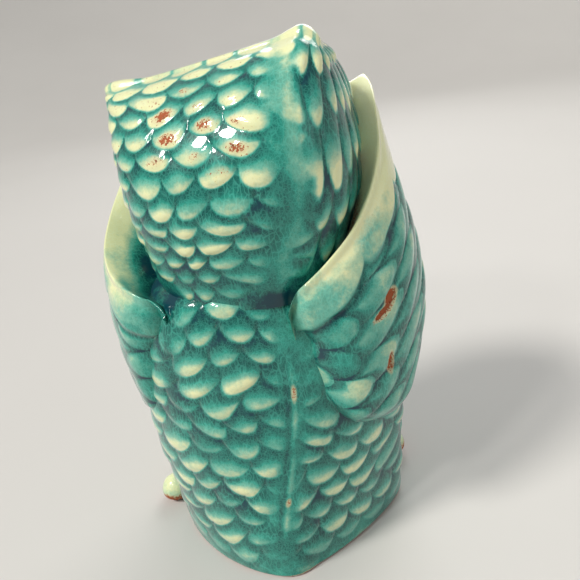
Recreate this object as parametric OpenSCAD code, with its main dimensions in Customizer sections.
// Hollow glazed owl figurine: cast shells and pressed pieces luted together.
// Origin: on the resting face, under the middle of the overall width and depth.
// The owl faces -Y, its own right side is -X, +Z is up. All sizes in millimetres.

/* [Overall] */
// height from the resting face to the higher ear tip
owl_h = 170; // [140:1:210]
// width across the two wings at their widest
owl_w = 108; // [95:1:130]
// depth of the standing body from belly to tail ridge
body_d = 75; // [66:1:90]
// wall of the cast shells
wall = 5; // [3.5:0.5:6]

/* [Head] */
// rise of the right ear over the left one, per mm of head width
head_tilt = 0.145; // [0:0.005:0.2]
// sharpness of the head's corners, 2 is an oval
head_square = 2.7; // [2.2:0.1:3.4]
// radius of the small pinched ear tips
ear_r = 2.4; // [1.8:0.1:3.2]

/* [Face] */
// outside radius of each round face disc
disc_r = 13; // [11:0.5:13.5]
// radius of the ball an eye is cut from
eye_ball_r = 9; // [8:0.5:10]
// distance of each eye from the middle of the face
eye_x = 14.5; // [13.5:0.5:15.5]
// height of the eyes over the resting face
eye_z = 139; // [136:1:142]
// length of the beak
beak_len = 13; // [10:1:16]

/* [Body] */
// tail ridge turned toward the right side, degrees
ridge_turn = 12; // [0:1:18]
// sharpness of the tail ridge, 2 is an oval, less is sharper
ridge_shape = 1.62; // [1.45:0.05:2]

/* [Base and feet] */
// radius of the clay plug that closes the bottom
plug_r = 24; // [18:1:26]
// radius of the vent hole in the plug
vent_r = 5; // [3:0.5:8]
// radius of a toe at its tip
toe_r = 4.6; // [3.8:0.2:5]

/* [Hidden] */
kx = owl_w / 108;
ky = body_d / 75;
kz = owl_h / 170;
neck_z = 104;
toe_reach = 42;
// moves the whole figure so that its depth is centred on the origin
shift_y = (toe_reach + toe_r - 36.99 * ky) / 2;
around = 48;

turquoise = [0.33, 0.67, 0.60];
celadon = [0.80, 0.87, 0.66];
deep = [0.05, 0.38, 0.40];
clay = [0.76, 0.44, 0.30];

// ---- smooth curves through design stations
function ss(a, b, x) = let (t = max(0, min(1, (x - a) / (b - a)))) t * t * (3 - 2 * t);
function seg(xs, x, i = 0) = (i >= len(xs) - 2 || x < xs[i + 1]) ? i : seg(xs, x, i + 1);
function slope(xs, ys, i) = let (p = max(0, i - 1), q = min(len(xs) - 1, i + 1))
    (ys[q] - ys[p]) / (xs[q] - xs[p]);
function curve(x0, xs, ys) =
    let (x = max(xs[0], min(xs[len(xs) - 1], x0)), i = seg(xs, x), h = xs[i + 1] - xs[i],
         t = (x - xs[i]) / h, m0 = slope(xs, ys, i) * h, m1 = slope(xs, ys, i + 1) * h)
    ys[i] * (1 + 2 * t) * (1 - t) * (1 - t) + m0 * t * (1 - t) * (1 - t)
    + ys[i + 1] * t * t * (3 - 2 * t) + m1 * t * t * (t - 1);

// ---- standing body: rounded diamond in plan with a tail ridge at the back
body_z = [0, 25, 50, 75, 100, 114];
body_half = [42.5, 44, 45.5, 43, 35, 25];
body_back = [37.5, 36.5, 35.5, 33, 29.6, 24.5];
body_front = [35, 37, 38, 36, 30, 22];
body_bend = [0, 0.13, 0.28, 0.48, 0.68, 0.6];
function body_pt(phi, z, d) =
    let (a = curve(z, body_z, body_half) - d, n = ridge_shape + curve(z, body_z, body_bend),
         q = phi - ridge_turn - 8 * ss(50, 114, z), c = cos(q), s = sin(q),
         b = (c > 0 ? curve(z, body_z, body_back) : curve(z, body_z, body_front)) - d,
         // the tail ridge is crisper on its right flank, which runs nearly flat to the side
         e = c > 0 ? n - 0.34 * ss(-88, -40, -z) * ss(-0.02, 0.3, s) : max(n, 2.2),
         r = 1 / pow(pow(abs(c) / b, e) + pow(abs(s) / a, e), 1 / e))
    [-r * sin(phi) * kx, r * cos(phi) * ky, z * kz];

// ---- head: upright cushion whose top closes on a straight ridge between the ears
head_w = [0, 0.12, 0.28, 0.48, 0.68, 0.85, 0.95, 1];
head_z = [98, 105, 116, 130, 144, 155.5, 161.5, 164];
head_right = [27, 30.5, 34, 36.5, 35, 32.2, 31.2, 30.8];
head_left = [26, 27.5, 29, 31, 32.5, 34, 35, 35.5];
head_back = [29, 30.5, 32.5, 34, 31.5, 23.5, 15, 8];
head_front = [-17, -23, -30, -34, -32, -23, -8, 6];
head_bend = [-0.4, -0.35, -0.2, 0, 0.2, 0.7, 1.1, 1.1];
function sgn_pow(v, e) = sign(v) * pow(abs(v), e);
function head_pt(u, w, d) =
    let (a = curve(w, head_w, sin(u) > 0 ? head_right : head_left) - d, yb = curve(w, head_w, head_back) - d,
         yf = curve(w, head_w, head_front) + d, n = head_square + curve(w, head_w, head_bend),
         c = cos(u), s = sin(u), k = 1 / pow(pow(abs(c), n) + pow(abs(s), n), 1 / n),
         x = -a * s * k, share = abs(s) * k,
         // the ears are thicker than the ridge between them, the right one is rounded over
         thick = (yb - yf) / 2 + 2.2 * ss(0.55, 0.95, share) * ss(0.85, 1, w),
         y = (yb + yf) / 2 + thick * c * k - 3 * x / 31 * ss(0.2, 1, w),
         drop = s > 0 ? 4.2 * pow(max(0, share - 0.8) / 0.2, 2) * ss(0.8, 1, w) : 0,
         lift = ss(0.7, 1, w) * pow(share, 3) - drop - head_tilt * x * ss(0.3, 1, w))
    [x * kx, y * ky, (curve(w, head_w, head_z) + lift) * kz];

// ---- wing: t runs from the root at the back to the raised tip beside the face
wing_t = [0, 0.2, 0.4, 0.6, 0.8, 1];
wing_phi = [31, 50, 67, 83, 102, 124];
wing_low_z = [71, 58, 52, 50, 60, 84];
wing_low_r = [37, 42.5, 45.5, 48, 48, 42];
wing_swell = [0.8, 2.5, 3, 5.5, 8, 3];
rim_r = [[36.5, 39, 41.5, 43, 42.5, 42.5], [37, 42.5, 45, 44.5, 43.5, 41]];
rim_z = [[104, 112.5, 122, 134.5, 147, 154], [103, 107.5, 113.5, 121.5, 134, 152]];
// side 0 is the right wing, side 1 the left; v runs 0 lower edge .. 1 rim .. 1.2 inside
function wing_pt(side, t, v) =
    let (s = 1 - min(1, v), phi = curve(t, wing_t, wing_phi) - 16 * s * s * ss(0.6, 1, t),
         rr = curve(t, wing_t, rim_r[side]), zr = curve(t, wing_t, rim_z[side]),
         rl = curve(t, wing_t, wing_low_r), zl = curve(t, wing_t, wing_low_z),
         swell = curve(t, wing_t, wing_swell) * sin(180 * pow(s, 0.8 + 0.3 * ss(0.6, 0.9, t))),
         into = max(0, v - 1) * 5,
         r = rr + (rl - rr) * s + swell - 11 * into,
         z = zr + (zl - zr) * s - 12 * into * into - 2 * into)
    [(side == 0 ? -1 : 1) * r * sin(phi) * kx, r * cos(phi) * ky, z * kz];
function wing_back_pt(side, t) =
    let (phi = curve(t, wing_t, wing_phi) - 16 * ss(0.6, 1, t), r = curve(t, wing_t, wing_low_r) - 11,
         z = curve(t, wing_t, wing_low_z))
    [(side == 0 ? -1 : 1) * r * sin(phi) * kx, r * cos(phi) * ky, z * kz];

function mean(ring) = [for (k = [0:2]) [for (p = ring) p[k]] * [for (p = ring) 1] / len(ring)];

// closed solid through rings of equal length; turn = true flips the facing
module loft(rings, turn = false) {
    n = len(rings[0]);
    m = len(rings);
    pts = concat([for (r = rings) for (p = r) p], [mean(rings[0]), mean(rings[m - 1])]);
    function tri(a, b, c) = turn ? [a, c, b] : [a, b, c];
    faces = concat(
        [for (j = [0:m - 2]) for (i = [0:n - 1]) let (k = (i + 1) % n)
            each [tri(j * n + i, (j + 1) * n + i, (j + 1) * n + k),
                  tri(j * n + i, (j + 1) * n + k, j * n + k)]],
        [for (i = [0:n - 1]) let (k = (i + 1) % n) tri(m * n, i, k)],
        [for (i = [0:n - 1]) let (k = (i + 1) % n) tri(m * n + 1, (m - 1) * n + k, (m - 1) * n + i)]);
    polyhedron(pts, faces, convexity = 6);
}

module body_loft(z0, z1, d, steps) {
    loft([for (j = [0:steps]) [for (i = [0:around - 1])
        body_pt(i * 360 / around, z0 + (z1 - z0) * j / steps, d)]]);
}

// w0 is the ring that sits on the neck plane
module head_loft(w0, w1, d, steps) {
    loft([for (j = [0:steps]) [for (i = [0:around - 1])
        head_pt(i * 360 / around, w0 + (w1 - w0) * sin(90 * j / steps), d)]]);
}

neck_w = 0.104;

module neck_cut(grow) {
    translate([0, 0, (neck_z - 8) * kz]) linear_extrude(20 * kz)
        polygon([for (i = [0:around - 1]) let (p = head_pt(i * 360 / around, neck_w, grow))
            [p[0], p[1]]]);
}

module body_shell() {
    color(turquoise) difference() {
        body_loft(0, neck_z, 0, 13);
        body_loft(wall, neck_z - wall, wall, 9);
        neck_cut(wall);
        translate([0, 0, -1]) cylinder(r = plug_r, h = wall + 2, $fn = 96);
    }
}

module base_plug() {
    color(clay) difference() {
        cylinder(r = plug_r, h = wall, $fn = 96);
        translate([0, 0, -1]) cylinder(r = vent_r, h = wall + 2, $fn = 64);
    }
}

function eye_at(side) = [side * eye_x * kx, -31.8 * ky, (eye_z - head_tilt * side * eye_x) * kz];

module on_face(side) {
    translate(eye_at(side)) rotate([0, 0, side * 16]) rotate([90, 0, 0]) children();
}

module disc_solid(side) {
    on_face(side) translate([0, 0, -7]) cylinder(r = disc_r, h = 10.5, $fn = 72);
}

module face_disc(side) {
    color(celadon) on_face(side) {
        rotate_extrude($fn = 72) polygon([[6.2, -7], [disc_r, -7], [disc_r, 2.3],
            [disc_r - 0.7, 3.2], [disc_r - 1.8, 3.5], [disc_r - 3.1, 2.8], [7.4, 1.4], [6.2, 1.4]]);
    }
}

module eye(side) {
    color(deep) on_face(side) difference() {
        intersection() {
            translate([0, 0, 4.6 - eye_ball_r]) sphere(r = eye_ball_r, $fn = 72);
            translate([0, 0, -7]) cylinder(r = 6.2, h = 20, $fn = 72);
        }
        translate([0, 0, 4.9]) sphere(r = 2.7, $fn = 48);
    }
}

module pupil(side) {
    color([0.06, 0.05, 0.05]) on_face(side) translate([0, 0, 4.9]) sphere(r = 2.7, $fn = 48);
}

module beak_solid() {
    translate([0, -36.5 * ky, (eye_z - 13) * kz]) rotate([-16, 0, 0]) rotate([0, 0, 30])
        translate([0, 0, -beak_len / 2]) {
        cylinder(r1 = 1.1, r2 = 4.6, h = beak_len, $fn = 48);
        translate([0, 0, beak_len]) sphere(r = 4.6, $fn = 48);
    }
}

module ear_solid(side) {
    tip = head_pt(-side * 90, 1, 0);
    translate(tip + [-side * 1.4, 0, -1.6]) sphere(r = ear_r, $fn = 36);
}

module head_shell() {
    color(turquoise) difference() {
        head_loft(neck_w, 1, 0, 18);
        head_loft(neck_w - 0.06, 0.86, wall, 9);
        for (side = [-1, 1]) {
            disc_solid(side);
            ear_solid(side);
        }
        beak_solid();
    }
}

module wing_solid(side) {
    top = [0.12, 0.3, 0.5, 0.68, 0.82, 0.92, 0.97, 1, 1.04, 1.09, 1.14, 1.2];
    loft([for (j = [0:16]) let (t = j / 16) concat([wing_back_pt(side, t), wing_pt(side, t, 0)],
        [for (v = top) wing_pt(side, t, v)])], side == 0);
}

module wing(side) {
    color(celadon) difference() {
        wing_solid(side);
        body_loft(-1, neck_z, 0, 13);
        head_loft(neck_w, 1, 0, 18);
    }
}

module toe(a, b) {
    hull() {
        translate([a[0], a[1], 6.6]) sphere(r = 6.6, $fn = 28);
        translate([b[0], b[1], toe_r]) sphere(r = toe_r, $fn = 28);
    }
}

// the stance is turned a little, so the two feet are not mirror images
module foot(ankle, tips) {
    color(celadon) difference() {
        union() for (tip = tips) toe(ankle, tip);
        body_loft(-1, neck_z, 0, 13);
    }
}

// every piece is drawn through this, which sets the origin
module place() {
    translate([0, shift_y, 0]) children();
}

place() body_shell();
place() base_plug();
place() head_shell();
place() color(celadon) ear_solid(1);  // ear_left
place() color(celadon) ear_solid(-1);  // ear_right
place() face_disc(1);  // face_disc_left
place() face_disc(-1);  // face_disc_right
place() eye(1);  // eye_left
place() eye(-1);  // eye_right
place() pupil(1);  // pupil_left
place() pupil(-1);  // pupil_right
place() color(celadon) beak_solid();  // beak
place() wing(1);  // wing_left
place() wing(0);  // wing_right
place() foot([40.5, -10], [[48.6, 5.6], [49.3, -22], [37, -36]]);  // foot_left
place() foot([-28, -28], [[-37, -29.5], [-32, -40.5], [-17, -toe_reach]]);  // foot_right
